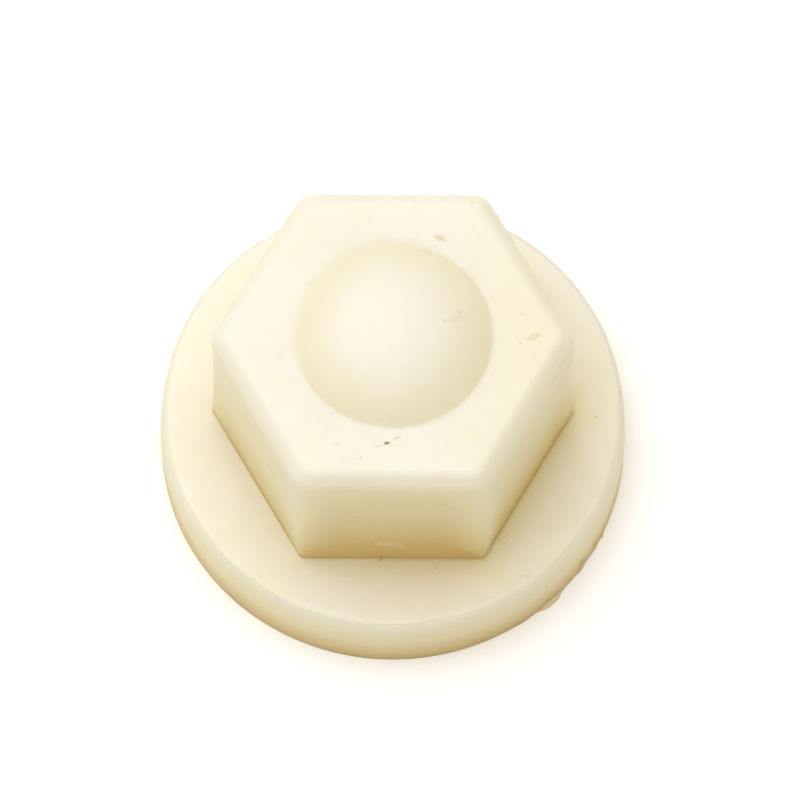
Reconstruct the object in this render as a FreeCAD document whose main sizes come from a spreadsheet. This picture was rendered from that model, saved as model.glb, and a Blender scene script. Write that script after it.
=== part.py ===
"""Wheel lock nut: one nylon moulding with a round flange, a hexagon, a domed end and a blind threaded bore.

The frame is millimetres with +Z up. The origin is on the nut's axis, in the flat face that seats on the
wheel. A flat of the hexagon faces -Y, and two of its corners lie on the X axis.
"""
import FreeCAD
import Part
import Sketcher

import math
import os

NODE = "lock_nut"
SIDES = 6
# a sketch's own origin and axes, as its constraints count them
ORIGIN_POINT = (-1, 1)
AXIS = {"across": -1, "up": -2}
# two levels closer than this, in millimetres, are the same level
TOLERANCE = 1e-4
# an internal metric thread's smallest diameter is less than its nominal one by this many pitches
MINOR_PITCHES = 1.0825

# Every driving size, with its name in the sheet. Lengths are millimetres, angles degrees.
SIZES = [
    # hexagon for a 19 mm wheel brace, measured where it leaves the flange
    ("across_flats", 19.0),
    ("hexagon_height", 12.2),
    ("hexagon_draft", 0.65),
    ("hexagon_corner_round", 1.3),
    ("hexagon_chamfer", 0.8),
    # flange, whose lip is how far its seat reaches beyond the sharp corners of the hexagon
    ("flange_lip", 3.28),
    ("flange_thickness", 4.9),
    ("flange_draft", 2.9),
    ("flange_edge_round", 0.3),
    # low dome that closes the outer end
    ("dome_diameter", 11.6),
    ("dome_rise", 2.0),
    # thread for a wheel stud, and the wall that closes the bore
    ("thread_diameter", 12.0),
    ("thread_pitch", 1.5),
    ("mouth_chamfer", 1.1),
    ("bore_end_rise", 1.2),
    ("crown_wall", 4.0),
]

# Places worked out from the sheet, shared by the features that meet there.
CORNER_RADIUS = "Sizes.across_flats / 2 / cos(30 deg)"
HEXAGON_TOP = "(Sizes.flange_thickness + Sizes.hexagon_height)"
BORE_RADIUS = f"(Sizes.thread_diameter - {MINOR_PITCHES} * Sizes.thread_pitch) / 2"
BORE_APEX = f"({HEXAGON_TOP} + Sizes.dome_rise - Sizes.crown_wall)"


def add_sheet(doc):
    """Put the driving sizes in a sheet, one cell each, and return their values by name."""
    sheet = doc.addObject("Spreadsheet::Sheet", "Sizes")
    for row, (name, value) in enumerate(SIZES, start=1):
        cell = f"B{row}"
        sheet.set(f"A{row}", name)
        sheet.set(cell, str(value))
        sheet.setAlias(cell, name)
    doc.recompute()
    return dict(SIZES)


def add_sketch(body, name, role):
    """Add a sketch on one of the body's own origin planes."""
    sketch = body.newObject("Sketcher::SketchObject", name)
    plane = next(feature for feature in body.Origin.OriginFeatures if feature.Role == role)
    sketch.AttachmentSupport = (plane, [""])
    sketch.MapMode = "FlatFace"
    return sketch


def set_size(sketch, name, expression, *constraint):
    """Add a dimension to a sketch, name it and bind it to the sheet."""
    index = sketch.addConstraint(Sketcher.Constraint(*constraint))
    sketch.renameConstraint(index, name)
    sketch.setExpression(f"Constraints.{name}", expression)


def join_ends(sketch, *joints):
    """Make pairs of points in a sketch coincide."""
    for first, second in joints:
        sketch.addConstraint(Sketcher.Constraint("Coincident", *first, *second))


def edge_names(feature, wanted):
    """Return the names of a feature's edges that pass a test."""
    return [f"Edge{index}" for index, edge in enumerate(feature.Shape.Edges, start=1) if wanted(edge)]


def heights(edge):
    """Return the lowest and highest level of an edge's ends."""
    levels = [vertex.Z for vertex in edge.Vertexes]
    return min(levels), max(levels)


def soften_edges(body, kind, name, base, edges, size):
    """Round or chamfer some of a feature's edges, all to one size from the sheet.

    The kind is Fillet, whose size is its radius, or Chamfer, whose size is its leg.
    """
    softened = body.newObject(f"PartDesign::{kind}", name)
    softened.Base = (base, edges)
    softened.setExpression("Radius" if kind == "Fillet" else "Size", f"Sizes.{size}")
    body.Document.recompute()
    return softened


def corner_reach(sizes):
    """Return how far the hexagon's sharp corners are from the axis."""
    return sizes["across_flats"] / 2 / math.cos(math.pi / SIDES)


def add_flange(body, sizes):
    """Pad the round flange up from the seat, drafted inwards from its parting line at the bottom."""
    sketch = add_sketch(body, "FlangeOutline", "XY_Plane")
    radius = corner_reach(sizes) + sizes["flange_lip"]
    rim = sketch.addGeometry(Part.Circle(FreeCAD.Vector(), FreeCAD.Vector(0, 0, 1), radius))
    join_ends(sketch, ((rim, 3), ORIGIN_POINT))
    set_size(sketch, "seat_radius", f"{CORNER_RADIUS} + Sizes.flange_lip", "Radius", rim, radius)
    pad = body.newObject("PartDesign::Pad", "Flange")
    pad.Profile = sketch
    pad.setExpression("Length", "Sizes.flange_thickness")
    pad.setExpression("TaperAngle", "-Sizes.flange_draft")
    body.Document.recompute()
    return pad


def add_hexagon(body, sizes):
    """Pad the hexagon up from the flange and return the pad."""
    sketch = add_sketch(body, "HexagonOutline", "XY_Plane")
    sketch.setExpression("AttachmentOffset.Base.z", "Sizes.flange_thickness")
    reach = corner_reach(sizes)
    corners = []
    for side in range(SIDES):
        angle = 2 * math.pi * side / SIDES
        corners.append(FreeCAD.Vector(reach * math.cos(angle), reach * math.sin(angle), 0))
    flats = []
    for start, end in zip(corners, corners[1:] + corners[:1]):
        flats.append(sketch.addGeometry(Part.LineSegment(start, end)))
    circle = sketch.addGeometry(Part.Circle(FreeCAD.Vector(), FreeCAD.Vector(0, 0, 1), reach), True)
    join_ends(sketch, ((circle, 3), ORIGIN_POINT))
    for flat, following in zip(flats, flats[1:] + flats[:1]):
        join_ends(sketch, ((flat, 2), (following, 1)))
        sketch.addConstraint(Sketcher.Constraint("PointOnObject", flat, 2, circle))
    for flat in flats[1:]:
        sketch.addConstraint(Sketcher.Constraint("Equal", flats[0], flat))
    sketch.addConstraint(Sketcher.Constraint("PointOnObject", flats[0], 1, AXIS["across"]))
    set_size(sketch, "corner_radius", CORNER_RADIUS, "Radius", circle, reach)
    pad = body.newObject("PartDesign::Pad", "Hexagon")
    pad.Profile = sketch
    pad.setExpression("Length", "Sizes.hexagon_height")
    body.Document.recompute()
    return pad


def draft_hexagon(body, pad, sizes):
    """Lean the hexagon's six flats inwards from where they leave the flange, so that it leaves its mould."""
    flange_top = sizes["flange_thickness"]
    flats = []
    for index, face in enumerate(pad.Shape.Faces, start=1):
        if face.BoundBox.ZLength > sizes["hexagon_height"] / 2 and face.CenterOfMass.z > flange_top:
            flats.append(f"Face{index}")
        if math.isclose(face.CenterOfMass.z, flange_top, abs_tol=TOLERANCE):
            shoulder = f"Face{index}"
    draft = body.newObject("PartDesign::Draft", "HexagonDraft")
    draft.Base = (pad, flats)
    draft.NeutralPlane = (pad, [shoulder])
    draft.setExpression("Angle", "Sizes.hexagon_draft")
    body.Document.recompute()
    return draft


def soften_outside(body, pad, sizes):
    """Round the hexagon's upright edges, chamfer the edge round its top, then round the flange's edge."""
    flange_top = sizes["flange_thickness"]
    hexagon_top = flange_top + sizes["hexagon_height"]

    def at(edge, low, high):
        lowest, highest = heights(edge)
        return math.isclose(lowest, low, abs_tol=TOLERANCE) and math.isclose(highest, high, abs_tol=TOLERANCE)

    def is_rim(edge):
        reach = math.hypot(edge.Vertexes[0].X, edge.Vertexes[0].Y)
        return at(edge, flange_top, flange_top) and reach > corner_reach(sizes)

    upright = edge_names(pad, lambda edge: at(edge, flange_top, hexagon_top))
    corners = soften_edges(body, "Fillet", "HexagonCorners", pad, upright, "hexagon_corner_round")
    top = edge_names(corners, lambda edge: at(edge, hexagon_top, hexagon_top))
    chamfer = soften_edges(body, "Chamfer", "HexagonChamfer", corners, top, "hexagon_chamfer")
    rim = edge_names(chamfer, is_rim)
    return soften_edges(body, "Fillet", "FlangeEdge", chamfer, rim, "flange_edge_round")


def add_arc_profile(sketch, radius, low, apex):
    """Draw the axis, the arc and nothing else of a domed profile that ends on the nut's axis.

    The arc runs from the wall at the given radius and low level to the apex on the axis, where it is level.
    Returns the arc's index. Its start is the point on the wall.
    """
    rise = apex - low
    curve = (radius ** 2 + rise ** 2) / (2 * rise)
    middle = FreeCAD.Vector(0, apex - curve, 0)
    circle = Part.Circle(middle, FreeCAD.Vector(0, 0, 1), curve)
    from_angle = math.atan2(low - middle.y, radius)
    arc = sketch.addGeometry(Part.ArcOfCircle(circle, from_angle, math.pi / 2))
    sketch.addConstraint(Sketcher.Constraint("PointOnObject", arc, 3, AXIS["up"]))
    sketch.addConstraint(Sketcher.Constraint("PointOnObject", arc, 2, AXIS["up"]))
    return arc


def line(sketch, start, end):
    """Draw a straight line between two points of a sketch and return its index."""
    return sketch.addGeometry(Part.LineSegment(FreeCAD.Vector(*start, 0), FreeCAD.Vector(*end, 0)))


def add_dome(body, sizes):
    """Turn the low dome on top of the hexagon."""
    sketch = add_sketch(body, "DomeProfile", "XZ_Plane")
    low = sizes["flange_thickness"] + sizes["hexagon_height"]
    apex = low + sizes["dome_rise"]
    radius = sizes["dome_diameter"] / 2
    arc = add_arc_profile(sketch, radius, low, apex)
    axis = line(sketch, (0, apex), (0, low))
    floor = line(sketch, (0, low), (radius, low))
    join_ends(sketch, ((arc, 2), (axis, 1)), ((axis, 2), (floor, 1)), ((floor, 2), (arc, 1)))
    sketch.addConstraint(Sketcher.Constraint("PointOnObject", axis, 2, AXIS["up"]))
    sketch.addConstraint(Sketcher.Constraint("Horizontal", floor))
    set_size(sketch, "level", HEXAGON_TOP, "DistanceY", *ORIGIN_POINT, axis, 2, low)
    set_size(sketch, "radius", "Sizes.dome_diameter / 2", "DistanceX", floor, 1, floor, 2, radius)
    set_size(sketch, "rise", "Sizes.dome_rise", "DistanceY", axis, 2, axis, 1, sizes["dome_rise"])
    dome = body.newObject("PartDesign::Revolution", "Dome")
    dome.Profile = sketch
    dome.ReferenceAxis = (sketch, ["V_Axis"])
    dome.Angle = 360
    body.Document.recompute()
    return dome


def cut_bore(body, sizes):
    """Turn the blind bore out of the underside: a chamfered mouth, the thread's wall and a domed end."""
    sketch = add_sketch(body, "BoreProfile", "XZ_Plane")
    radius = (sizes["thread_diameter"] - MINOR_PITCHES * sizes["thread_pitch"]) / 2
    chamfer = sizes["mouth_chamfer"]
    apex = sizes["flange_thickness"] + sizes["hexagon_height"] + sizes["dome_rise"] - sizes["crown_wall"]
    wall_end = apex - sizes["bore_end_rise"]
    arc = add_arc_profile(sketch, radius, wall_end, apex)
    axis = line(sketch, (0, apex), (0, 0))
    mouth = line(sketch, (0, 0), (radius + chamfer, 0))
    slope = line(sketch, (radius + chamfer, 0), (radius, chamfer))
    wall = line(sketch, (radius, chamfer), (radius, wall_end))
    join_ends(sketch, ((arc, 2), (axis, 1)), ((axis, 2), (mouth, 1)), ((mouth, 2), (slope, 1)))
    join_ends(sketch, ((slope, 2), (wall, 1)), ((wall, 2), (arc, 1)), ((axis, 2), ORIGIN_POINT))
    sketch.addConstraint(Sketcher.Constraint("Horizontal", mouth))
    sketch.addConstraint(Sketcher.Constraint("Vertical", wall))
    set_size(sketch, "apex", BORE_APEX, "DistanceY", axis, 2, axis, 1, apex)
    set_size(sketch, "radius", BORE_RADIUS, "DistanceX", axis, 2, wall, 2, radius)
    set_size(sketch, "end_rise", "Sizes.bore_end_rise", "DistanceY", wall, 2, arc, 2, sizes["bore_end_rise"])
    set_size(sketch, "chamfer_depth", "Sizes.mouth_chamfer", "DistanceY", slope, 1, slope, 2, chamfer)
    set_size(sketch, "chamfer_width", "Sizes.mouth_chamfer", "DistanceX", slope, 2, slope, 1, chamfer)
    bore = body.newObject("PartDesign::Groove", "Bore")
    bore.Profile = sketch
    bore.ReferenceAxis = (sketch, ["V_Axis"])
    bore.Angle = 360
    body.Document.recompute()
    return bore


def check(doc, body, solid_volume):
    """Stop if a feature failed, the body is not one sound solid, or the bore took nothing away."""
    for item in doc.Objects:
        if {"Invalid", "Error"} & set(item.State):
            raise RuntimeError(f"{item.Name} failed: {item.State}")
    shape = body.Shape
    if shape.isNull() or not shape.isValid() or len(shape.Solids) != 1:
        raise RuntimeError(f"{body.Label} is not one valid solid")
    if shape.Volume >= solid_volume:
        raise RuntimeError("the bore cut nothing")


def main():
    """Build the nut and write its solid."""
    doc = FreeCAD.newDocument("WheelLockNut")
    sizes = add_sheet(doc)
    body = doc.addObject("PartDesign::Body", "LockNut")
    body.Label = NODE
    add_flange(body, sizes)
    hexagon = draft_hexagon(body, add_hexagon(body, sizes), sizes)
    soften_outside(body, hexagon, sizes)
    dome = add_dome(body, sizes)
    solid_volume = dome.Shape.Volume
    cut_bore(body, sizes)
    doc.recompute()
    check(doc, body, solid_volume)
    os.makedirs("parts", exist_ok=True)
    body.Shape.exportStep(f"parts/{body.Label}.step")
    box = body.Shape.optimalBoundingBox()
    print(f"{body.Label}: {box.XLength:.2f} x {box.YLength:.2f} x {box.ZLength:.2f} mm,", end=" ")
    print(f"{body.Shape.Volume / 1000:.3f} cm3")


main()
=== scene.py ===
"""A moulded nylon wheel lock nut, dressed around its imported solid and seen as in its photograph."""

import logging
import math
from dataclasses import dataclass
from enum import Enum
from functools import cached_property

import bmesh
import bpy
from mathutils import Matrix, Vector, noise


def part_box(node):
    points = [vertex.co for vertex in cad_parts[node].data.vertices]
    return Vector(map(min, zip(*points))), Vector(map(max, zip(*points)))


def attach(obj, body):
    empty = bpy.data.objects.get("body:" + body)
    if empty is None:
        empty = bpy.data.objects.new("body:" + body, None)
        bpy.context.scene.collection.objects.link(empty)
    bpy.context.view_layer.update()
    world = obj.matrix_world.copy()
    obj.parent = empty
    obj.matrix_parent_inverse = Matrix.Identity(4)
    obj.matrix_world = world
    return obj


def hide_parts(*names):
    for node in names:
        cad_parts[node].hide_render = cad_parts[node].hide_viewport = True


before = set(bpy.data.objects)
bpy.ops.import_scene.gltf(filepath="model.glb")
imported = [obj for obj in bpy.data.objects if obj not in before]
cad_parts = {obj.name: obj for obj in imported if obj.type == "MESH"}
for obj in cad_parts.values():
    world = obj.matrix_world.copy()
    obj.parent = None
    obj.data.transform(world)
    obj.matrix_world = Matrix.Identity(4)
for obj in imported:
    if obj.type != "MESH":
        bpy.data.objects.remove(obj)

LOG = logging.getLogger("wheel_lock_nut")
NODE = "lock_nut"
BODY = "root"
# metres in a millimetre: every size below is in millimetres
MM = 0.001
# the photograph's frame, in pixels, and the camera's film width in millimetres
PHOTO_WIDTH = 800
FILM_WIDTH = 36.0
# depth of a metric thread, as a share of its pitch
THREAD_DEPTH = 0.54125
# the flash's edge and the rim's fine line each read a slice of the same noise
FLASH_SLICE = 3.0
LINE_SLICE = 7.0

Point = tuple[float, float, float]
Ring = list[Vector]


def linear(colour: str) -> tuple[float, float, float, float]:
    """Turn a colour as written into the renderer's linear light.

    Args:
        colour: six hexadecimal digits of sRGB.

    Returns:
        Linear red, green and blue, with an alpha of one.
    """
    channels = [int(colour[place:place + 2], 16) / 255 for place in (0, 2, 4)]
    light = [c / 12.92 if c <= 0.04045 else ((c + 0.055) / 1.055) ** 2.4 for c in channels]
    return (*light, 1.0)


def add_node(tree: bpy.types.NodeTree, kind: str, settings: dict | None = None,
             inputs: dict | None = None) -> bpy.types.Node:
    """Add a shader node with its settings and links.

    Args:
        tree: the material's or world's node tree.
        kind: the node's type.
        settings: attributes of the node and their values.
        inputs: sockets by name or number, each with a constant or another node's output.

    Returns:
        The new node.
    """
    made = tree.nodes.new(kind)
    for name, value in (settings or {}).items():
        setattr(made, name, value)
    for key, value in (inputs or {}).items():
        if isinstance(value, bpy.types.NodeSocket):
            tree.links.new(value, made.inputs[key])
        else:
            made.inputs[key].default_value = value
    return made


def smooth_step(low: float, high: float, value: float) -> float:
    """Rise smoothly from 0 at low to 1 at high."""
    share = min(max((value - low) / (high - low), 0.0), 1.0)
    return share * share * (3 - 2 * share)


def mixed(first: Ring, second: Ring, share: float) -> Ring:
    """Return the ring that lies a share of the way from one ring to another."""
    return [a.lerp(b, share) for a, b in zip(first, second)]


class RingMesh:
    """A mesh that is extruded from a circle, ring after ring, and then placed.

    Each point keeps the number of its spoke, so that an extruded point knows its place.
    """

    def __init__(self, name: str, rings: list[Ring]) -> None:
        """Extrude a circle as often as there are rings and move its points to them.

        Args:
            name: the object's name.
            rings: the rings' points, in millimetres.
        """
        bpy.ops.object.select_all(action="DESELECT")
        bpy.ops.mesh.primitive_circle_add(vertices=len(rings[0]), radius=rings[0][0].length * MM)
        self.piece = bpy.context.object
        self.piece.name = name
        self.piece.data.name = name
        bpy.ops.object.mode_set(mode="EDIT")
        bpy.ops.mesh.select_mode(type="VERT")
        bpy.ops.mesh.select_all(action="SELECT")
        mesh = bmesh.from_edit_mesh(self.piece.data)
        spoke = mesh.verts.layers.int.new("spoke")
        for number, vert in enumerate(mesh.verts):
            vert[spoke] = number
        bmesh.update_edit_mesh(self.piece.data)
        bpy.ops.mesh.extrude_repeat(steps=len(rings) - 1, offset=(0, 0, MM))
        mesh = bmesh.from_edit_mesh(self.piece.data)
        spoke = mesh.verts.layers.int["spoke"]
        for vert in mesh.verts:
            vert.co = rings[round(vert.co.z / MM)][vert[spoke]] * MM
        bmesh.update_edit_mesh(self.piece.data)

    def close(self) -> bpy.types.Object:
        """Fill both open ends with fans of triangles.

        Returns:
            The finished object.
        """
        bpy.ops.mesh.select_all(action="SELECT")
        bpy.ops.mesh.fill_holes(sides=0)
        bpy.ops.mesh.select_mode(type="FACE")
        bpy.ops.mesh.select_face_by_sides(number=4, type="GREATER", extend=False)
        bpy.ops.mesh.poke()
        bpy.ops.mesh.select_all(action="SELECT")
        bpy.ops.mesh.normals_make_consistent(inside=False)
        bpy.ops.object.mode_set(mode="OBJECT")
        return self.piece


@dataclass(frozen=True)
class Flash:
    """A ragged lip of flash on the flange's lower rim, where the mould's halves met.

    Azimuths are degrees about the nut's axis from +X, lengths are millimetres.
    """

    azimuth: float
    half_width: float
    proud: float
    # the share of its half width over which the lip is full
    full: float = 0.25

    def reach(self, azimuth: float) -> float:
        """Return how far the lip stands out at an azimuth."""
        away = abs((azimuth - self.azimuth + 180) % 360 - 180)
        return self.proud * (1 - smooth_step(self.full, 1.0, away / self.half_width))


@dataclass(frozen=True)
class Nick:
    """A small bite out of the flange's rim: where it is, how wide and how deep.

    The azimuth and the half width are degrees, the other sizes millimetres.
    """

    azimuth: float
    level: float
    half_width: float
    half_height: float
    depth: float
    # the share of its width over which the bite is full
    full: float = 0.2

    def bite(self, azimuth: float, level: float) -> float:
        """Tell how far the rim is cut back.

        Args:
            azimuth: degrees about the nut's axis.
            level: the height above the seat.

        Returns:
            The bite's depth there.
        """
        across = ((azimuth - self.azimuth + 180) % 360 - 180) / self.half_width
        up = (level - self.level) / self.half_height
        return self.depth * (1 - smooth_step(self.full, 1.0, math.hypot(across, up)))


class MarkKind(Enum):
    """What a mark on the nylon is."""

    # its dark floor is painted shade in the hole
    PIT = "a small hole with a dark floor"
    SPECK = "a grain of rust or dirt held in the surface"
    SMEAR = "a faint rubbed stain"
    SCRATCH = "a fine scored line"
    SCUFF = "a lighter rubbed patch"


@dataclass(frozen=True)
class Mark:
    """A mark on the nylon, placed by the photograph's pixel that shows its middle.

    Length and width are millimetres, and the turn is degrees about the face's normal, from the photograph's
    horizontal.
    """

    kind: MarkKind
    pixel: tuple[float, float]
    length: float
    width: float
    turn: float = 0.0
    strength: float = 1.0


# a mark with its place, in metres, and the surface's normal there
PlacedMark = tuple[Mark, Vector, Vector]


@dataclass(frozen=True)
class MarkLook:
    """How a kind of mark looks: its stain, its height above the skin and how ragged its edge is.

    The stain is sRGB, the height millimetres, and the raggedness a share of the mark's width.
    """

    stain: str
    height: float = 0.0
    raggedness: float = 0.9


@dataclass
class PhotoCamera:
    """The photograph's camera, as fitted to the nut's outline. Lengths are millimetres, angles degrees."""

    elevation: float = 68.68
    azimuth: float = -0.17
    roll: float = 0.354
    distance: float = 286.5
    lens: float = 209.07
    # where the nut's origin lies beside the line of sight, to the right and up
    beside: tuple[float, float] = (-0.445, -2.441)
    nearest: float = 1.0
    farthest: float = 20000.0

    def axes(self) -> tuple[Vector, Vector, Vector]:
        """Work out which way the camera looks.

        Returns:
            Its right, up and backward directions.
        """
        turn = math.radians(self.azimuth)
        rise = math.radians(self.elevation)
        back = Vector((math.sin(turn) * math.cos(rise), -math.cos(turn) * math.cos(rise), math.sin(rise)))
        level = Vector((math.cos(turn), math.sin(turn), 0))
        upright = back.cross(level)
        lean = math.radians(self.roll)
        right = level * math.cos(lean) + upright * math.sin(lean)
        return right, back.cross(right), back

    def eye(self) -> Vector:
        """Return the camera's place in metres."""
        right, up, back = self.axes()
        return (back * self.distance - right * self.beside[0] - up * self.beside[1]) * MM

    def build(self) -> bpy.types.Object:
        """Make the camera and make it the scene's own.

        Returns:
            The camera object.
        """
        lens = bpy.data.cameras.new("photo_camera")
        lens.lens = self.lens
        lens.sensor_fit = "HORIZONTAL"
        lens.sensor_width = FILM_WIDTH
        lens.clip_start = self.nearest * MM
        lens.clip_end = self.farthest * MM
        camera = bpy.data.objects.new("photo_camera", lens)
        bpy.context.scene.collection.objects.link(camera)
        turned = Matrix(self.axes()).transposed().to_4x4()
        camera.matrix_world = Matrix.Translation(self.eye()) @ turned
        bpy.context.scene.camera = camera
        return camera

    def find(self, piece: bpy.types.Object, pixel: tuple[float, float]) -> tuple[Vector, Vector]:
        """Find the point of a piece that a pixel of the photograph shows.

        Args:
            piece: an object at the origin.
            pixel: a place in the photograph.

        Returns:
            The point in metres and the surface's normal there.
        """
        right, up, back = self.axes()
        half = PHOTO_WIDTH / 2
        per_pixel = FILM_WIDTH / PHOTO_WIDTH / self.lens
        ray = right * (pixel[0] - half) * per_pixel - up * (pixel[1] - half) * per_pixel - back
        hit, place, normal, _ = piece.ray_cast(self.eye(), ray.normalized())
        if not hit:
            raise ValueError(f"no part of {piece.name} is at pixel {pixel}")
        return place, normal


@dataclass(frozen=True)
class NaturalNylon:
    """Natural polyamide, injection moulded: ivory, a little cloudy inside, with a satin moulded skin.

    Light enters the skin and wanders, so shaded corners glow ochre instead of going grey, and painted shade,
    from straw to tan, is laid on the shaded places too, together with some yellowing. Colours are sRGB,
    lengths millimetres.
    """

    ivory: str = "F4EDDD"
    warm: str = "F0E9D1"
    # straw and tan: the tones of the painted shade and yellowing
    straw: str = "EEE3B6"
    tan: str = "DABC72"
    rust: str = "B48A34"
    ochre: str = "CDB262"
    # painted shade for the floors of pits and scratches
    hollow_shade: str = "A07E3C"
    rubbed: str = "F6EEDC"
    ior: float = 1.53
    roughness: float = 0.42
    scatter: Point = (1.9, 1.6, 1.2)
    scatter_weight: float = 0.55
    # slow clouds and a finer mottle, and how far they add up before the warmer ivory shows and is full
    cloud_width: float = 7.0
    mottle_width: float = 0.9
    mottle_share: float = 0.5
    warm_from: float = 0.52
    warm_full: float = 1.0
    # a mould's sparked skin is finer than this: it is drawn as coarse as it needs to show
    grain_width: float = 0.35
    grain_height: float = 0.011
    gloss_width: float = 2.5
    gloss_below: float = 0.06
    gloss_above: float = 0.08
    # the marks: how fine their ragged edge is, how far they reach into the skin, and their full core
    ragged_width: float = 0.22
    mark_reach: float = 0.4
    mark_core: float = 0.35

    def build(self, marks: list[PlacedMark]) -> bpy.types.Material:
        """Make the material.

        Args:
            marks: each mark with its place, in metres, and the surface's normal there.

        Returns:
            The material.
        """
        material = bpy.data.materials.new("natural_nylon_moulded")
        material.use_nodes = True
        tree = material.node_tree
        tree.nodes.clear()
        place = add_node(tree, "ShaderNodeTexCoord").outputs["Object"]
        colour = self.cloudy_colour(tree, place)
        height = self.moulded_grain(tree, place)
        colour, height = self.marked(tree, place, colour, height, marks)
        relief = add_node(tree, "ShaderNodeBump", inputs={"Strength": 1.0, "Distance": MM, "Height": height})
        sheen = self.uneven_gloss(tree, place)
        # the thin flash lets no light wander
        thin = add_node(tree, "ShaderNodeAttribute", {"attribute_name": "thin"})
        depth = add_node(tree, "ShaderNodeMapRange", inputs={
            "Value": thin.outputs["Fac"], "To Min": self.scatter_weight, "To Max": 0.0})
        skin = add_node(tree, "ShaderNodeBsdfPrincipled", {"subsurface_method": "RANDOM_WALK"}, {
            "Base Color": colour,
            "Roughness": sheen,
            "IOR": self.ior,
            "Subsurface Weight": depth.outputs["Result"],
            "Subsurface Radius": self.scatter,
            "Subsurface Scale": MM,
            "Normal": relief.outputs["Normal"],
        })
        add_node(tree, "ShaderNodeOutputMaterial", inputs={"Surface": skin.outputs["BSDF"]})
        return material

    def cloudy_colour(self, tree: bpy.types.NodeTree, place: bpy.types.NodeSocket) -> bpy.types.NodeSocket:
        """Drift between two ivories over a few millimetres, and darken towards straw and tan by the painted
        shade and yellowing held on each point.

        Args:
            tree: the material's node tree.
            place: the point's object coordinates.

        Returns:
            The nylon's colour, painted shade and yellowing included, before its marks.
        """
        cloud = add_node(tree, "ShaderNodeTexNoise", inputs={
            "Vector": place, "Scale": 1 / (self.cloud_width * MM), "Detail": 3.0, "Roughness": 0.45})
        fine = add_node(tree, "ShaderNodeTexNoise", inputs={
            "Vector": place, "Scale": 1 / (self.mottle_width * MM), "Detail": 2.0, "Roughness": 0.5})
        both = add_node(tree, "ShaderNodeMath", {"operation": "MULTIPLY_ADD"}, {
            0: fine.outputs["Fac"], 1: self.mottle_share, 2: cloud.outputs["Fac"]})
        blend = add_node(tree, "ShaderNodeMapRange", inputs={
            "Value": both.outputs["Value"], "From Min": self.warm_from, "From Max": self.warm_full})
        drifting = add_node(tree, "ShaderNodeMix", {"data_type": "RGBA"}, {
            "Factor": blend.outputs["Result"], "A": linear(self.ivory), "B": linear(self.warm)})
        shade_and_yellowing = add_node(tree, "ShaderNodeAttribute", {"attribute_name": "shade_and_yellowing"})
        shaded_and_aged = drifting.outputs["Result"]
        # painted shade and yellowing: the first half of the way goes to straw, the second from straw to tan
        for start, shade in ((0.0, self.straw), (0.5, self.tan)):
            share = add_node(tree, "ShaderNodeMapRange", inputs={
                "Value": shade_and_yellowing.outputs["Fac"], "From Min": start, "From Max": start + 0.5})
            shaded_and_aged = add_node(tree, "ShaderNodeMix", {"data_type": "RGBA"}, {
                "Factor": share.outputs["Result"], "A": shaded_and_aged, "B": linear(shade)}).outputs["Result"]
        return shaded_and_aged

    def moulded_grain(self, tree: bpy.types.NodeTree, place: bpy.types.NodeSocket) -> bpy.types.NodeSocket:
        """Raise the fine sparked texture that the mould left.

        Args:
            tree: the material's node tree.
            place: the point's object coordinates.

        Returns:
            The skin's height in millimetres.
        """
        grain = add_node(tree, "ShaderNodeTexNoise", inputs={
            "Vector": place, "Scale": 1 / (self.grain_width * MM), "Detail": 2.0, "Roughness": 0.6})
        height = add_node(tree, "ShaderNodeMath", {"operation": "MULTIPLY"}, {
            0: grain.outputs["Fac"], 1: self.grain_height})
        return height.outputs["Value"]

    def uneven_gloss(self, tree: bpy.types.NodeTree, place: bpy.types.NodeSocket) -> bpy.types.NodeSocket:
        """Let the gloss drift a little about the finish's own, as handling leaves it.

        Args:
            tree: the material's node tree.
            place: the point's object coordinates.

        Returns:
            The roughness.
        """
        patches = add_node(tree, "ShaderNodeTexNoise", inputs={
            "Vector": place, "Scale": 1 / (self.gloss_width * MM), "Detail": 3.0})
        spread = add_node(tree, "ShaderNodeMapRange", inputs={
            "Value": patches.outputs["Fac"], "From Min": 0.3, "From Max": 0.7,
            "To Min": self.roughness - self.gloss_below, "To Max": self.roughness + self.gloss_above})
        return spread.outputs["Result"]

    def looks(self) -> dict[MarkKind, MarkLook]:
        """Return what each kind of mark does to the skin."""
        return {
            MarkKind.PIT: MarkLook(self.hollow_shade, height=-0.08),
            MarkKind.SPECK: MarkLook(self.rust, height=-0.005),
            MarkKind.SMEAR: MarkLook(self.ochre, raggedness=0.35),
            MarkKind.SCRATCH: MarkLook(self.hollow_shade, height=-0.03),
            MarkKind.SCUFF: MarkLook(self.rubbed, height=0.02),
        }

    def marked(self, tree: bpy.types.NodeTree, place: bpy.types.NodeSocket, colour: bpy.types.NodeSocket,
               height: bpy.types.NodeSocket, marks: list[PlacedMark]
               ) -> tuple[bpy.types.NodeSocket, bpy.types.NodeSocket]:
        """Lay the marks over the colour and cut them into the height.

        Args:
            tree: the material's node tree.
            place: the point's object coordinates.
            colour: the clean nylon's colour.
            height: the clean nylon's height in millimetres.
            marks: each mark with its place and the surface's normal.

        Returns:
            The marked colour and height.
        """
        ragged = add_node(tree, "ShaderNodeTexNoise", inputs={
            "Vector": place, "Scale": 1 / (self.ragged_width * MM), "Detail": 2.0})
        shake = add_node(tree, "ShaderNodeVectorMath", {"operation": "SUBTRACT"}, {
            0: ragged.outputs["Color"], 1: (0.5, 0.5, 0.5)}).outputs["Vector"]
        looks = self.looks()
        for placed in marks:
            look = looks[placed[0].kind]
            cover = self.mark_cover(tree, place, shake, look.raggedness, placed)
            colour = add_node(tree, "ShaderNodeMix", {"data_type": "RGBA"}, {
                "Factor": cover, "A": colour, "B": linear(look.stain)}).outputs["Result"]
            if look.height:
                height = add_node(tree, "ShaderNodeMath", {"operation": "MULTIPLY_ADD"}, {
                    0: cover, 1: look.height, 2: height}).outputs["Value"]
        return colour, height

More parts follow.
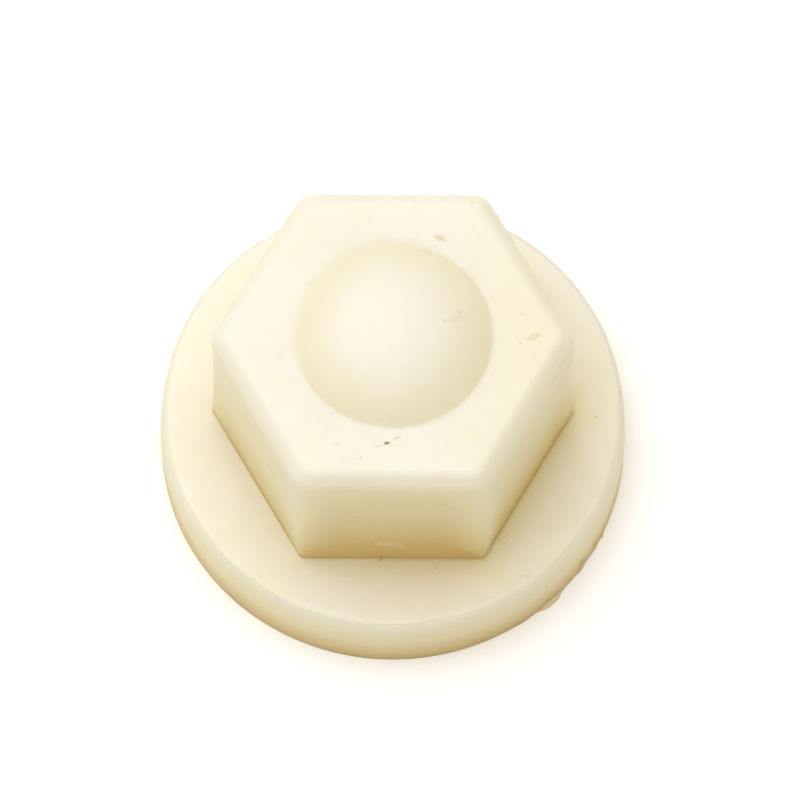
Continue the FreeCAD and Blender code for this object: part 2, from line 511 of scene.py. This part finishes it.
    def mark_cover(self, tree: bpy.types.NodeTree, place: bpy.types.NodeSocket, shake: bpy.types.NodeSocket,
                   raggedness: float, placed: PlacedMark) -> bpy.types.NodeSocket:
        """Mask one mark: its strength in its core, fading to nothing at its ragged edge.

        Args:
            tree: the material's node tree.
            place: the point's object coordinates.
            shake: a noise about nought that moves the edge.
            raggedness: how far it moves, as a share of the mark's width.
            placed: the mark, its place and the surface's normal there.

        Returns:
            The share of the mark's stain.
        """
        mark, point, normal = placed
        wander = add_node(tree, "ShaderNodeVectorMath", {"operation": "SCALE"}, {
            0: shake, "Scale": raggedness * mark.width * MM})
        moved = add_node(tree, "ShaderNodeVectorMath", {"operation": "ADD"}, {
            0: place, 1: wander.outputs["Vector"]})
        along = (Vector((1, 0, 0)) - normal * normal.x).normalized()
        face = Matrix((along, normal.cross(along), normal)).transposed()
        lean = face @ Matrix.Rotation(math.radians(mark.turn), 3, "Z")
        half_sizes = (mark.length / 2, mark.width / 2, max(mark.width, self.mark_reach))
        local = add_node(tree, "ShaderNodeMapping", {"vector_type": "TEXTURE"}, {
            "Vector": moved.outputs["Vector"],
            "Location": point,
            "Rotation": lean.to_euler(),
            "Scale": [size * MM for size in half_sizes],
        })
        away = add_node(tree, "ShaderNodeVectorMath", {"operation": "LENGTH"}, {
            0: local.outputs["Vector"]})
        cover = add_node(tree, "ShaderNodeMapRange", {"interpolation_type": "SMOOTHSTEP"}, {
            "Value": away.outputs["Value"], "From Min": self.mark_core, "From Max": 1.0,
            "To Min": mark.strength, "To Max": 0.0})
        return cover.outputs["Result"]


@dataclass(frozen=True)
class ShadeAndAgeing:
    """How far the nylon looks from clean ivory, 0, by way of straw, 0.5, to tan, 1, from place to place.

    It is painted shade, darker on the front flat, to the right, in the creases, at the foot of each wall and
    in the bore, and lighter at the upright corners, taken together with age, dust and the light that the
    nylon's depth swallows, as the photograph shows them.
    Fades and widths are millimetres, the rest are shares.
    """

    # painted shade in the bore, and the flash's tone
    bore: float = 0.6
    flash: float = 0.6
    # the flats: the painted shade at their foot, how slowly it fades upwards, and the line of painted shade
    # in the crease
    wall: float = 0.82
    wall_fade: float = 12.0
    crease_shade: float = 0.25
    crease_shade_fade: float = 0.5
    # more painted shade on the front flat and to the right, less at the upright corners, where light comes
    # through
    front: float = 0.48
    right: float = 0.17
    corner: float = 0.28
    # painted shade on the right of the top face and on the skirt of the dome
    top_right: float = 0.15
    dome: float = 0.27
    # painted shade on the flange beside the flats, lighter on the left, and on its wall from the foot up
    crease: float = 0.70
    crease_left: float = 0.45
    crease_width: float = 0.95
    rim: float = 1.15
    rim_fall: float = 1.05
    # the fine line round the flange: its mean, how far it comes and goes, and how often in a millimetre
    line: float = 0.55
    line_change: float = 0.7
    line_often: float = 0.35


@dataclass
class LockNut:
    """The nut as it left its mould: flange, hexagon, dome and threaded bore, with its flash and its marks.

    Lengths are millimetres and angles degrees, as on the solid that it stands for.
    """

    across_flats: float = 19.0
    hexagon_height: float = 12.2
    hexagon_draft: float = 0.65
    # the corners are sharper at the foot, where the mould was cut into the flange, and round out upwards
    corner_round: float = 1.3
    corner_foot: float = 0.30
    corner_top: float = 1.45
    corner_least: float = 0.6
    corner_rise: float = 0.6
    chamfer: float = 0.8
    arris_round: float = 0.85
    flange_thickness: float = 4.9
    flange_draft: float = 2.9
    flange_round: float = 0.3
    root_round: float = 0.12
    # half the width, and the depth, of the fine line that the mould left round the flange's edge
    rim_line: float = 0.05
    rim_depth: float = 0.018
    dome_radius: float = 5.8
    dome_rise: float = 2.0
    # the dome's foot is a crease, but at the back left it melts into the top face
    dome_crease: float = 0.06
    dome_melt: float = 0.45
    thread_diameter: float = 12.0
    thread_pitch: float = 1.5
    mouth_chamfer: float = 1.1
    bore_end_rise: float = 1.2
    crown_wall: float = 4.0
    # where the thread's rings begin and how it runs out, and its crest and flank as shares of the pitch
    thread_start: float = 0.05
    thread_fade: float = 1.8
    thread_stop: float = 0.3
    crest_share: float = 0.06
    flank_share: float = 0.42
    # how far the moulding's skin waves, and how often in a millimetre
    wave: float = 0.012
    wave_slow: float = 0.22
    wave_quick: float = 0.55
    # the flash is full up to one level and gone at the next; its edge is torn about its mean
    flash_full: float = 0.12
    flash_gone: float = 0.30
    flash_thin: float = 0.06
    flash_mean: float = 0.85
    flash_tear: float = 0.4
    tears_per_degree: float = 0.35
    tears_per_mm: float = 1.5
    # how far in from the seat's edge flash and nicks can reach
    flash_margin: float = 0.3
    nick_margin: float = 1.2
    # the seat's rings: one out on its face and one close to its edge
    seat_share: float = 0.7
    seat_margin: float = 0.25
    # levels of the rings up the flange's wall, closest at the foot, where the flash stands
    # none lies high on the wall, so that its shading rolls softly over the edge
    rim_levels: tuple[float, ...] = (0.05, 0.13, 0.23, 0.35, 0.5, 0.7, 1.0, 1.4, 1.9, 2.4, 2.9)
    # steps of the mesh, from one feature's edge to the next
    flat_steps: int = 60
    corner_steps: int = 12
    flange_steps: int = 14
    root_steps: int = 3
    wall_steps: int = 26
    chamfer_steps: int = 5
    top_steps: int = 12
    dome_steps: int = 22
    turn_steps: int = 9
    bore_end_steps: int = 9
    # faces that meet at more than this stay sharp
    sharp_angle: float = 50.0
    # painted shade and yellowing, from place to place
    shade_and_ageing: ShadeAndAgeing = ShadeAndAgeing()

    @cached_property
    def seat_radius(self) -> float:
        """Return the flange's radius at its seat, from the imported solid."""
        low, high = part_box(NODE)
        return (high.x - low.x) / 2 / MM

    @cached_property
    def rim_radius(self) -> float:
        """Return the flange's radius at the top of its drafted wall."""
        return self.seat_radius - self.flange_thickness * math.tan(math.radians(self.flange_draft))

    @property
    def hexagon_top(self) -> float:
        """Return the level of the hexagon's top face."""
        return self.flange_thickness + self.hexagon_height

    def apothem(self, level: float) -> float:
        """Return half the hexagon's width across flats at a level."""
        lean = math.tan(math.radians(self.hexagon_draft))
        return self.across_flats / 2 - (level - self.flange_thickness) * lean

    def corner_at(self, level: float) -> float:
        """Return the upright corners' radius at a level."""
        share = (level - self.flange_thickness) / (self.corner_rise * self.hexagon_height)
        return self.corner_foot + (self.corner_top - self.corner_foot) * smooth_step(0.0, 1.0, share)

    def hexagon_ring(self, apothem: float, corner: float, level: float) -> Ring:
        """Return a ring round a hexagon with rounded corners.

        Args:
            apothem: half the width across flats.
            corner: the corners' radius.
            level: the ring's height.

        Returns:
            The ring's points, from the corner on +X round to the left.
        """
        ring = []
        reach = (apothem - corner) / math.cos(math.radians(30))
        for side in range(6):
            middle = math.radians(60 * side)
            centre = Vector((math.cos(middle), math.sin(middle), 0)) * reach
            arc = []
            for step in range(self.corner_steps + 1):
                angle = middle + math.radians(60 * step / self.corner_steps - 30)
                arc.append(centre + Vector((math.cos(angle), math.sin(angle), 0)) * corner)
            following = Matrix.Rotation(math.radians(60), 3, "Z") @ arc[0]
            ring += arc
            ring += [arc[-1].lerp(following, step / self.flat_steps) for step in range(1, self.flat_steps)]
        return [Vector((point.x, point.y, level)) for point in ring]

    @cached_property
    def spokes(self) -> Ring:
        """Return the directions that every ring's points lie in, outwards from the axis."""
        ring = self.hexagon_ring(self.across_flats / 2, self.corner_round, 0.0)
        return [point.normalized() for point in ring]

    def round_ring(self, radius: float, level: float) -> Ring:
        """Return a circle whose points lie on the same spokes as the hexagon's."""
        return [spoke * radius + Vector((0, 0, level)) for spoke in self.spokes]

    def flange_rings(self) -> list[Ring]:
        """Ring the flange, from its seat up its wall and over its edge to the hexagon.

        Returns:
            The rings, the last of them round the root of the flats.
        """
        shoulder = self.flange_thickness - self.flange_round
        bow = self.seat_radius - self.rim_radius
        rings = []
        for level in self.rim_levels:
            rings.append(self.round_ring(self.seat_radius - bow * (level / shoulder) ** 3, level))
        rings.append(self.round_ring(self.rim_radius, shoulder))
        edge = self.rim_radius - self.flange_round
        for inward, sunk in ((0.0, 0.0), (self.rim_line, self.rim_depth), (2 * self.rim_line, 0.0)):
            rings.append(self.round_ring(edge - inward, self.flange_thickness - sunk))
        outer = rings[-1]
        inner = self.hexagon_ring(self.apothem(self.flange_thickness) + self.root_round,
                                  self.corner_foot + self.root_round, self.flange_thickness)
        steps = self.flange_steps
        rings += [mixed(outer, inner, step / steps) for step in range(1, steps + 1)]
        return rings

    def hexagon_rings(self) -> list[Ring]:
        """Ring the hexagon, from the root of its flats over the chamfer to its top face.

        Returns:
            The rings, the last of them round the top face.
        """
        rings = []
        for step in range(1, self.root_steps + 1):
            angle = math.radians(90 * step / self.root_steps)
            out = self.root_round * (1 - math.sin(angle))
            level = self.flange_thickness + self.root_round * (1 - math.cos(angle))
            rings.append(self.hexagon_ring(self.apothem(level) + out, self.corner_at(level) + out, level))
        foot = self.hexagon_top - self.chamfer
        ease = self.arris_round * math.tan(math.radians(22.5))
        start = self.flange_thickness + self.root_round
        end = foot - ease
        for step in range(1, self.wall_steps + 1):
            level = start + (end - start) * step / self.wall_steps
            rings.append(self.hexagon_ring(self.apothem(level), self.corner_at(level), level))
        rings += self.chamfer_rings(foot)
        return rings

    def chamfer_rings(self, foot: float) -> list[Ring]:
        """Return the rings over the chamfer, with both of its arrises eased.

        Args:
            foot: the level where the flats would meet the chamfer.

        Returns:
            The rings, the last of them round the top face.
        """
        wall = self.apothem(foot)
        turn = self.arris_round
        ease = turn * math.tan(math.radians(22.5))
        diagonal = math.sin(math.radians(45))
        slope = self.chamfer - 2 * ease * diagonal
        shares = [step / self.chamfer_steps for step in range(1, self.chamfer_steps + 1)]
        # each point of the section: how far inwards and how far up from where flat and chamfer would meet
        section = []
        for share in shares:
            angle = math.radians(45 * share)
            section.append((turn * (1 - math.cos(angle)), turn * math.sin(angle) - ease))
        inward, rise = section[-1]
        section += [(inward + slope * share, rise + slope * share) for share in shares]
        inward, rise = section[-1]
        for share in shares:
            angle = math.radians(45 + 45 * share)
            back = turn * (diagonal - math.cos(angle))
            section.append((inward + back, rise + turn * (math.sin(angle) - diagonal)))
        lift = self.hexagon_top - (foot + section[-1][1])
        rings = []
        for inward, rise in section:
            level = foot + rise + lift * smooth_step(0, self.chamfer, rise)
            corner = max(self.corner_at(level) - inward, self.corner_least)
            rings.append(self.hexagon_ring(wall - inward, corner, level))
        return rings

    def crown_rings(self, rim: Ring) -> list[Ring]:
        """Return the rings of the top face and of the dome on it.

        Args:
            rim: the ring round the top face.

        Returns:
            The rings, the last of them a small one about the dome's apex.
        """
        foot = self.round_ring(self.dome_radius + self.dome_crease, self.hexagon_top)
        steps = self.top_steps
        rings = [mixed(rim, foot, step / steps) for step in range(1, steps + 1)]
        for step in range(self.dome_steps):
            crease = self.dome_crease if step == 0 else 0.0
            radius = self.dome_radius * (1 - step / self.dome_steps) - crease
            rings.append(self.round_ring(radius, self.hexagon_top))
        for ring in rings:
            for point in ring:
                point.z = self.hexagon_top + self.crown_rise(point)
        return rings

    def melted(self, point: Vector) -> float:
        """Return 1 on the side where the dome's foot is soft, at the back left, and 0 on the others."""
        towards = (point.y - point.x) / math.sqrt(2) / max(math.hypot(point.x, point.y), 0.01)
        return smooth_step(0.1, 0.9, towards)

    def crown_rise(self, point: Vector) -> float:
        """Return how far the crown stands above the top face's plane.

        Args:
            point: a place above or below the crown, in millimetres.

        Returns:
            The dome's height, or what its soft foot leaves beside it.
        """
        curve = (self.dome_radius ** 2 + self.dome_rise ** 2) / (2 * self.dome_rise)
        reach = min(math.hypot(point.x, point.y), 0.98 * curve)
        cap = self.dome_rise - curve + math.sqrt(curve ** 2 - reach ** 2)
        soft = self.dome_melt * self.melted(point) * min(max(1 - cap, 0.0), 1.0)
        return (cap + math.hypot(cap, soft)) / 2

    def bore_rings(self) -> list[Ring]:
        """Ring the bore, from its mouth up the thread to the domed end.

        Returns:
            The rings, the last of them a small one about the end's middle.
        """
        depth = THREAD_DEPTH * self.thread_pitch
        minor = self.thread_diameter / 2 - depth
        apex = self.hexagon_top + self.dome_rise - self.crown_wall
        end = apex - self.bore_end_rise
        length = end - self.thread_start
        count = round(length / self.thread_pitch * self.turn_steps)
        rings = [self.round_ring(minor + self.mouth_chamfer, 0.0)]
        for number in range(count + 1):
            level = self.thread_start + length * number / count
            mouth = minor + max(self.mouth_chamfer - level, 0.0)
            fade = 1 - smooth_step(end - self.thread_fade, end - self.thread_stop, level)
            ring = []
            for spoke in self.spokes:
                turn = math.atan2(spoke.y, spoke.x) / (2 * math.pi)
                phase = (level / self.thread_pitch - turn) % 1.0
                flank = min(phase, 1 - phase) - self.crest_share
                tooth = smooth_step(0.0, self.flank_share, flank) * depth * fade
                ring.append(spoke * max(minor + tooth, mouth) + Vector((0, 0, level)))
            rings.append(ring)
        curve = (minor ** 2 + self.bore_end_rise ** 2) / (2 * self.bore_end_rise)
        for step in range(1, self.bore_end_steps):
            radius = minor * (1 - step / self.bore_end_steps)
            level = apex - curve + math.sqrt(curve ** 2 - radius ** 2)
            rings.append(self.round_ring(radius, level))
        return rings

    def build(self, lips: list[Flash], nicks: list[Nick]) -> bpy.types.Object:
        """Model the nut as one closed mesh, from the bore's end out over the flange to the dome.

        Args:
            lips: the flash on the flange's rim.
            nicks: the bites out of it.

        Returns:
            The nut's object.
        """
        bore = self.bore_rings()
        seat_edge = self.seat_radius
        seat_radii = (seat_edge * self.seat_share, seat_edge - self.seat_margin, seat_edge)
        seat = [self.round_ring(radius, 0.0) for radius in seat_radii]
        hexagon = self.hexagon_rings()
        crown = self.crown_rings(hexagon[-1])
        nut = RingMesh("nut", bore[::-1] + seat + self.flange_rings() + hexagon + crown).close()
        self.age(nut, lips, nicks)
        nut.data.attributes.remove(nut.data.attributes["spoke"])
        # each point's painted shade and yellowing, from clean ivory to tan
        shade_and_yellowing = nut.data.attributes.new("shade_and_yellowing", "FLOAT", "POINT")
        shade_and_yellowing.data.foreach_set("value", [self.shade_and_yellowing(vert.co / MM) for vert in nut.data.vertices])
        thin = nut.data.attributes.new("thin", "FLOAT", "POINT")
        proud = [vert.co.xy.length / MM - self.seat_radius for vert in nut.data.vertices]
        thin.data.foreach_set("value", [smooth_step(0.0, self.flash_thin, out) for out in proud])
        bpy.ops.object.shade_smooth_by_angle(angle=math.radians(self.sharp_angle))
        return nut

    def age(self, nut: bpy.types.Object, lips: list[Flash], nicks: list[Nick]) -> None:
        """Give the perfect skin what moulding and use left on it: slow waves, flash and nicks.

        Args:
            nut: the nut as modelled.
            lips: the flash on the flange's rim.
            nicks: the bites out of it.
        """
        low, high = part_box(NODE)
        places = []
        for point, normal in [(vert.co / MM, vert.normal.copy()) for vert in nut.data.vertices]:
            azimuth = math.degrees(math.atan2(point.y, point.x))
            reach = math.hypot(point.x, point.y)
            if point.z > 0.01:
                waves = noise.noise(point * self.wave_slow) + 0.5 * noise.noise(point * self.wave_quick)
                point -= normal * self.wave * (1 + waves)
            if 0 <= point.z < self.flash_gone and reach > self.seat_radius - self.flash_margin:
                torn = Vector((azimuth * self.tears_per_degree, FLASH_SLICE, point.z * self.tears_per_mm))
                ragged = self.flash_mean + self.flash_tear * noise.noise(torn)
                thin = 1 - smooth_step(self.flash_full, self.flash_gone, point.z)
                out = sum(lip.reach(azimuth) for lip in lips) * ragged * thin
                point += Vector((point.x, point.y, 0)) / reach * out
            if reach > self.seat_radius - self.nick_margin:
                cut = sum(nick.bite(azimuth, point.z) for nick in nicks)
                point -= Vector((point.x, point.y, 0)) / reach * cut
            places += [min(max(point[axis] * MM, low[axis]), high[axis]) for axis in range(3)]
        nut.data.vertices.foreach_set("co", places)
        nut.data.update()

    def facing(self, point: Vector) -> float:
        """Return the azimuth, in radians, that the flat beside a point faces."""
        normals = [math.radians(30 + 60 * side) for side in range(6)]
        return max(normals, key=lambda turn: point.x * math.cos(turn) + point.y * math.sin(turn))

    def shade_and_yellowing(self, point: Vector) -> float:
        """Tell how far the nylon is painted from clean ivory at a point, by its painted shade and yellowing.

        Args:
            point: a place on the nut, in millimetres.

        Returns:
            A share from 0, ivory, by way of straw to 1, tan.
        """
        reach = math.hypot(point.x, point.y)
        above = point.z - self.flange_thickness
        # a little room on each side, because the skin waves
        if reach < self.thread_diameter / 2 + 0.4 and point.z < self.hexagon_top - 1.0:
            return self.shade_and_ageing.bore
        if above <= -0.12:
            return self.rim_shade(point)
        if above <= 0.05:
            return self.flange_shade(point)
        if reach > self.dome_radius + 1.0:
            return self.wall_shade(point)
        return self.crown_shade(point)

    def rim_shade(self, point: Vector) -> float:
        """Return the share on the flange's wall, whose painted shade is tan at its foot, and on the flash.
        """
        if math.hypot(point.x, point.y) > self.seat_radius + 0.03:
            return self.shade_and_ageing.flash
        return min(self.shade_and_ageing.rim - self.shade_and_ageing.rim_fall * point.z / self.flange_thickness, 1.0)

    def flange_shade(self, point: Vector) -> float:
        """Paint shade on the flange's face beside the flats, and tan along the fine line round it.

        Args:
            point: a place on the face, in millimetres.

        Returns:
            The share there.
        """
        # the settings of the painted shade and yellowing
        age = self.shade_and_ageing
        facing = self.facing(point)
        beyond = point.x * math.cos(facing) + point.y * math.sin(facing) - self.apothem(point.z)
        # painted shade in the crease beside the flats, lighter on the left
        crease = age.crease - age.crease_left * smooth_step(1.0, -5.0, point.x)
        middle = self.rim_radius - self.flange_round - self.rim_line
        off_line = abs(middle - math.hypot(point.x, point.y))
        spot = Vector((point.x * age.line_often, point.y * age.line_often, LINE_SLICE))
        broken = min(max(age.line + age.line_change * noise.noise(spot), 0.0), 1.0)
        # the line shows along the front
        line = broken * (1 - smooth_step(0.0, self.rim_line, off_line)) * smooth_step(3.0, -5.0, point.y)
        return max(crease * math.exp(-max(beyond, 0.0) / age.crease_width), line)

    def wall_shade(self, point: Vector) -> float:
        """Paint shade on the flats and on the chamfer over them.

        Args:
            point: a place on them, in millimetres.

        Returns:
            The share there.
        """
        # the settings of the painted shade and yellowing
        age = self.shade_and_ageing
        foot = self.hexagon_top - self.chamfer
        above = point.z - self.flange_thickness
        apothem = self.apothem(point.z)
        front = smooth_step(0.95, 1.0, -point.y / apothem)
        right = smooth_step(0.0, 5.0, point.x) * (1 - front)
        facing = self.facing(point)
        along = abs(point.y * math.cos(facing) - point.x * math.sin(facing))
        corner = smooth_step(0.55, 1.0, along / (apothem * math.tan(math.radians(30))))
        # painted shade, darkest in the crease at the flats' foot and fading upwards
        upwards = age.wall * math.exp(-above / age.wall_fade) + age.crease_shade * math.exp(-above / age.crease_shade_fade)
        # more painted shade on the front flat and to the right, less at the upright corners
        wall = (1 + age.front * front + age.right * right) * (1 - age.corner * corner) * upwards
        fade = 1 - smooth_step(foot - 0.6, self.hexagon_top, point.z)
        return min(wall, 1.0) * fade + self.top_shade(point) * smooth_step(foot, self.hexagon_top, point.z)

    def top_shade(self, point: Vector) -> float:
        """Return the painted shade on the top face, which rises towards its right."""
        return self.shade_and_ageing.top_right * smooth_step(1.0, 9.0, point.x)

    def crown_shade(self, point: Vector) -> float:
        """Paint shade on the dome's skirt and on the top face round it.

        Args:
            point: a place on them, in millimetres.

        Returns:
            The share there.
        """
        reach = math.hypot(point.x, point.y)
        soft = 0.02 + 0.6 * self.melted(point)
        domed = smooth_step(self.dome_radius + soft, self.dome_radius - soft, reach)
        skirt = self.shade_and_ageing.dome * smooth_step(0.35, 1.0, reach / self.dome_radius)
        return self.top_shade(point) * (1 - domed) + skirt * domed

    def dress(self, nut: bpy.types.Object, finish: NaturalNylon, camera: PhotoCamera,
              marks: list[Mark]) -> None:
        """Give the nut its finish, with the marks where the photograph shows them.

        Args:
            nut: the nut's object.
            finish: the nylon.
            camera: the camera that places the marks.
            marks: the marks.
        """
        placed = []
        for mark in marks:
            place, normal = camera.find(nut, mark.pixel)
            placed.append((mark, place, normal))
        nut.data.materials.clear()
        nut.data.materials.append(finish.build(placed))
        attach(nut, BODY)
        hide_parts(NODE)


@dataclass
class Studio:
    """A white table under a large soft light at the upper left, with a weaker one all round.

    Lengths are metres.
    """

    floor_width: float = 3.0
    # the table's paper is warm where it shades, and white to the camera where the light falls full
    floor_colour: str = "F7F6F3"
    floor_lift: float = 0.22
    key_place: Point = (-0.115, 0.10, 0.52)
    key_width: float = 0.60
    key_power: float = 2.32
    key_colour: str = "EEF4FF"
    around: float = 0.555
    around_colour: str = "FFF9EE"
    white: str = "FFFFFF"

    def seen_ray(self, tree: bpy.types.NodeTree) -> bpy.types.NodeSocket:
        """Pick the rays that show the room itself: to the camera, off a gloss or through glass.

        Args:
            tree: the node tree of the table or the world.

        Returns:
            1 on those rays and 0 on the others.
        """
        rays = add_node(tree, "ShaderNodeLightPath")
        direct = add_node(tree, "ShaderNodeMath", {"operation": "MAXIMUM"}, {
            0: rays.outputs["Is Camera Ray"], 1: rays.outputs["Is Transmission Ray"]})
        seen = add_node(tree, "ShaderNodeMath", {"operation": "MAXIMUM"}, {
            0: direct.outputs["Value"], 1: rays.outputs["Is Glossy Ray"]})
        return seen.outputs["Value"]

    def floor(self) -> bpy.types.Object:
        """Make the table, white to the camera where nothing shades it.

        Returns:
            The floor's object.
        """
        bpy.ops.object.select_all(action="DESELECT")
        bpy.ops.mesh.primitive_plane_add(size=self.floor_width)
        table = bpy.context.object
        table.name = "table"
        material = bpy.data.materials.new("white_table")
        material.use_nodes = True
        tree = material.node_tree
        tree.nodes.clear()
        paper = add_node(tree, "ShaderNodeBsdfDiffuse", inputs={"Color": linear(self.floor_colour)})
        lift = add_node(tree, "ShaderNodeMath", {"operation": "MULTIPLY"}, {
            0: self.seen_ray(tree), 1: self.floor_lift})
        white = add_node(tree, "ShaderNodeEmission", inputs={"Strength": lift.outputs["Value"]})
        both = add_node(tree, "ShaderNodeAddShader", inputs={
            0: paper.outputs["BSDF"], 1: white.outputs["Emission"]})
        add_node(tree, "ShaderNodeOutputMaterial", inputs={"Surface": both.outputs["Shader"]})
        table.data.materials.append(material)
        return table

    def lights(self) -> None:
        """Make the soft box and the light all round."""
        lamp = bpy.data.lights.new("soft_box", "AREA")
        lamp.shape = "SQUARE"
        lamp.size = self.key_width
        lamp.energy = self.key_power
        lamp.color = linear(self.key_colour)[:3]
        box = bpy.data.objects.new("soft_box", lamp)
        bpy.context.scene.collection.objects.link(box)
        place = Vector(self.key_place)
        box.matrix_world = Matrix.Translation(place) @ place.to_track_quat("Z", "Y").to_matrix().to_4x4()
        world = bpy.data.worlds.new("studio")
        world.use_nodes = True
        tree = world.node_tree
        tree.nodes.clear()
        seen = self.seen_ray(tree)
        level = add_node(tree, "ShaderNodeMapRange", inputs={
            "Value": seen, "To Min": self.around, "To Max": 1.0})
        tint = add_node(tree, "ShaderNodeMix", {"data_type": "RGBA"}, {
            "Factor": seen, "A": linear(self.around_colour), "B": linear(self.white)})
        sky = add_node(tree, "ShaderNodeBackground", inputs={
            "Color": tint.outputs["Result"], "Strength": level.outputs["Result"]})
        add_node(tree, "ShaderNodeOutputWorld", inputs={"Surface": sky.outputs["Background"]})
        bpy.context.scene.world = world


FLASH = [
    Flash(azimuth=-47.5, half_width=4.8, proud=0.31),
    Flash(azimuth=-36.5, half_width=1.6, proud=0.12),
    Flash(azimuth=-30.0, half_width=2.2, proud=0.07),
    Flash(azimuth=-26.0, half_width=1.2, proud=0.10),
    Flash(azimuth=-56.0, half_width=3.0, proud=0.05),
]
NICKS = [
    Nick(azimuth=-36.0, level=1.2, half_width=1.6, half_height=0.6, depth=0.15),
    Nick(azimuth=-30.0, level=0.9, half_width=1.2, half_height=0.5, depth=0.12),
    Nick(azimuth=124.0, level=4.6, half_width=1.5, half_height=0.6, depth=0.11),
]
MARKS = [
    Mark(MarkKind.PIT, pixel=(387, 443), length=0.45, width=0.22, turn=8),
    Mark(MarkKind.SCRATCH, pixel=(379, 446), length=0.55, width=0.10, turn=28, strength=0.30),
    Mark(MarkKind.SCRATCH, pixel=(397, 438), length=0.9, width=0.16, turn=30, strength=0.28),
    Mark(MarkKind.SMEAR, pixel=(440, 238), length=1.1, width=0.55, turn=-25, strength=0.42),
    Mark(MarkKind.SPECK, pixel=(430, 254), length=0.30, width=0.18, turn=-30, strength=0.28),
    Mark(MarkKind.SPECK, pixel=(445, 321), length=0.40, width=0.25, turn=0, strength=0.20),
    Mark(MarkKind.SPECK, pixel=(461, 312), length=0.35, width=0.22, turn=30, strength=0.22),
    Mark(MarkKind.SMEAR, pixel=(533, 337), length=1.3, width=0.6, turn=20, strength=0.26),
    Mark(MarkKind.SPECK, pixel=(521, 343), length=0.28, width=0.16, turn=0, strength=0.32),
    Mark(MarkKind.SPECK, pixel=(538, 335), length=0.30, width=0.14, turn=40, strength=0.28),
    Mark(MarkKind.SPECK, pixel=(571, 340), length=0.24, width=0.14, turn=0, strength=0.30),
    Mark(MarkKind.SPECK, pixel=(521, 314), length=0.28, width=0.16, turn=0, strength=0.25),
    Mark(MarkKind.SPECK, pixel=(472, 203), length=0.35, width=0.20, turn=30, strength=0.24),
    Mark(MarkKind.PIT, pixel=(381, 560), length=0.22, width=0.16, turn=0, strength=0.7),
    Mark(MarkKind.SPECK, pixel=(437, 568), length=0.28, width=0.18, turn=0, strength=0.30),
    Mark(MarkKind.SPECK, pixel=(528, 576), length=0.24, width=0.16, turn=0, strength=0.45),
    Mark(MarkKind.SPECK, pixel=(505, 543), length=0.24, width=0.14, turn=0, strength=0.30),
    Mark(MarkKind.SPECK, pixel=(338, 444), length=0.40, width=0.22, turn=0, strength=0.18),
    Mark(MarkKind.SPECK, pixel=(596, 417), length=0.30, width=0.18, turn=0, strength=0.25),
    Mark(MarkKind.SCRATCH, pixel=(442, 505), length=1.4, width=0.22, turn=2, strength=0.30),
    Mark(MarkKind.SCRATCH, pixel=(448, 508), length=0.9, width=0.18, turn=-3, strength=0.25),
    Mark(MarkKind.SCUFF, pixel=(430, 514), length=0.35, width=0.5, turn=0, strength=0.5),
    Mark(MarkKind.SPECK, pixel=(358, 518), length=0.3, width=0.4, turn=0, strength=0.20),
    Mark(MarkKind.SCUFF, pixel=(400, 547), length=0.7, width=0.8, turn=0, strength=0.28),
    Mark(MarkKind.SCUFF, pixel=(373, 538), length=0.5, width=0.7, turn=0, strength=0.18),
    Mark(MarkKind.SCUFF, pixel=(344, 450), length=0.7, width=0.4, turn=30, strength=0.3),
    Mark(MarkKind.SPECK, pixel=(361, 458), length=0.25, width=0.16, turn=0, strength=0.25),
    Mark(MarkKind.SPECK, pixel=(323, 457), length=0.22, width=0.16, turn=0, strength=0.15),
    Mark(MarkKind.SPECK, pixel=(302, 532), length=0.25, width=0.3, turn=0, strength=0.25),
    Mark(MarkKind.SMEAR, pixel=(424, 252), length=0.8, width=0.4, turn=10, strength=0.18),
    Mark(MarkKind.SMEAR, pixel=(456, 318), length=1.5, width=0.9, turn=30, strength=0.12),
    Mark(MarkKind.SMEAR, pixel=(308, 284), length=0.7, width=0.5, turn=0, strength=0.12),
    Mark(MarkKind.SCUFF, pixel=(505, 541), length=0.35, width=0.3, turn=0, strength=0.4),
    Mark(MarkKind.SCUFF, pixel=(386, 544), length=1.7, width=1.3, turn=0, strength=0.26),
]


def main() -> None:
    """Build the nut, dress it and set the studio round it."""
    logging.basicConfig(level=logging.INFO, format="%(name)s: %(message)s")
    bpy.context.scene.view_settings.view_transform = "Standard"
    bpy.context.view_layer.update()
    camera = PhotoCamera()
    camera.build()
    nut = LockNut()
    piece = nut.build(FLASH, NICKS)
    nut.dress(piece, NaturalNylon(), camera, MARKS)
    LOG.info("%s: %d faces", piece.name, len(piece.data.polygons))
    studio = Studio()
    studio.floor()
    studio.lights()


if __name__ == "__main__":
    main()
